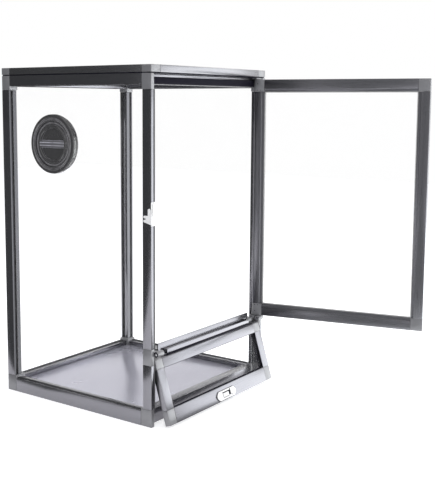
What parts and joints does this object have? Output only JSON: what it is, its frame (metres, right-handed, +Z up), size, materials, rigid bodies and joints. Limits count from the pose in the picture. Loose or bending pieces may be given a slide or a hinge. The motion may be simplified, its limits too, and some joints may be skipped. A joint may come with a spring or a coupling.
{
  "type": "reptile cage",
  "caption": "Upright framed display cage with clear walls, a tall side-hinged front door, a hinged feeding flap below it, a mesh lid that lifts off and a round port with a twist cap.",
  "frame": {"origin": "on the underside of the front bottom rail, at mid-width and at the middle of that rail's depth, 28 mm behind the front plane; z = 0 is the plane the cage stands on", "axes": "+X to the right along the front, +Y to the back, +Z up; the front with its door and flap faces -Y"},
  "size_m": [0.5491, 0.8707, 0.8],
  "materials": {
    "frame": "satin anodised, charcoal grey",
    "leaf": "satin anodised, charcoal grey",
    "block": "moulded, grey, fine texture",
    "clear_panel": "clear acrylic sheet",
    "floor": "satin lavender grey sheet",
    "port": "moulded, near black, satin",
    "latch": "white, smooth",
    "mesh": "woven wire, dark coated"
  },
  "bodies": {
    "cage": {"bottom_corner_back_left": "block", "bottom_corner_back_right": "block", "bottom_corner_front_left": "block", "bottom_corner_front_right": "block", "bottom_rail_back": "frame", "bottom_rail_front": "frame", "bottom_rail_left": "frame", "bottom_rail_right": "frame", "door_latch_base": "latch", "floor_panel": "floor", "mid_rail": "frame", "panel_back": "clear_panel", "panel_left": "clear_panel", "panel_right": "clear_panel", "port_ring": "port", "post_back_left": "frame", "post_back_right": "frame", "post_front_left": "frame", "post_front_right": "frame", "tee_left": "block", "tee_right": "block", "top_corner_back_left": "block", "top_corner_back_right": "block", "top_corner_front_left": "block", "top_corner_front_right": "block", "top_rail_back": "frame", "top_rail_front": "frame", "top_rail_left": "frame", "top_rail_right": "frame"},
    "door": {"door_corner_bottom_free": "block", "door_corner_bottom_hinge": "block", "door_corner_top_free": "block", "door_corner_top_hinge": "block", "door_panel": "clear_panel", "door_rail_bottom": "leaf", "door_rail_top": "leaf", "door_stile_free": "leaf", "door_stile_hinge": "leaf"},
    "flap": {"flap_corner_bottom_left": "block", "flap_corner_bottom_right": "block", "flap_corner_top_left": "block", "flap_corner_top_right": "block", "flap_latch_plate": "latch", "flap_panel": "clear_panel", "flap_rail_bottom": "leaf", "flap_rail_top": "leaf", "flap_stile_left": "leaf", "flap_stile_right": "leaf"},
    "lid": {"lid_corner_back_left": "block", "lid_corner_back_right": "block", "lid_corner_front_left": "block", "lid_corner_front_right": "block", "lid_mesh": "mesh", "lid_rail_back": "frame", "lid_rail_front": "frame", "lid_rail_left": "frame", "lid_rail_right": "frame"},
    "door_latch": {"door_latch_lever": "latch"},
    "flap_latch": {"flap_latch_slide": "latch"},
    "port_cap": {"port_cap": "port"}
  },
  "joints": [
    {"name": "door_hinge", "type": "hinge", "parent": "cage", "child": "door", "pos_m": [0.2095, -0.0201, 0.4755], "axis": [0, 0, 1], "range_deg": [-102.7, 5.3]},
    {"name": "flap_hinge", "type": "hinge", "parent": "cage", "child": "flap", "pos_m": [0, -0.0201, 0.1462], "axis": [-1, 0, 0], "range_deg": [-17.25, 67.75]},
    {"name": "lid_lift", "type": "slide", "parent": "cage", "child": "lid", "axis": [0, 0, 1], "range_m": [0, 0.06]},
    {"name": "door_latch_turn", "type": "hinge", "parent": "cage", "child": "door_latch", "pos_m": [-0.226, -0.0299, 0.48], "axis": [0, 1, 0], "range_deg": [0, 90]},
    {"name": "flap_latch_travel", "type": "slide", "parent": "flap", "child": "flap_latch", "axis": [1, 0, 0], "range_m": [0, 0.0112]},
    {"name": "port_cap_twist", "type": "hinge", "parent": "cage", "child": "port_cap", "pos_m": [-0.2262, 0.262, 0.622], "axis": [-1, 0, 0], "range_deg": [0, 60]}
  ]
}
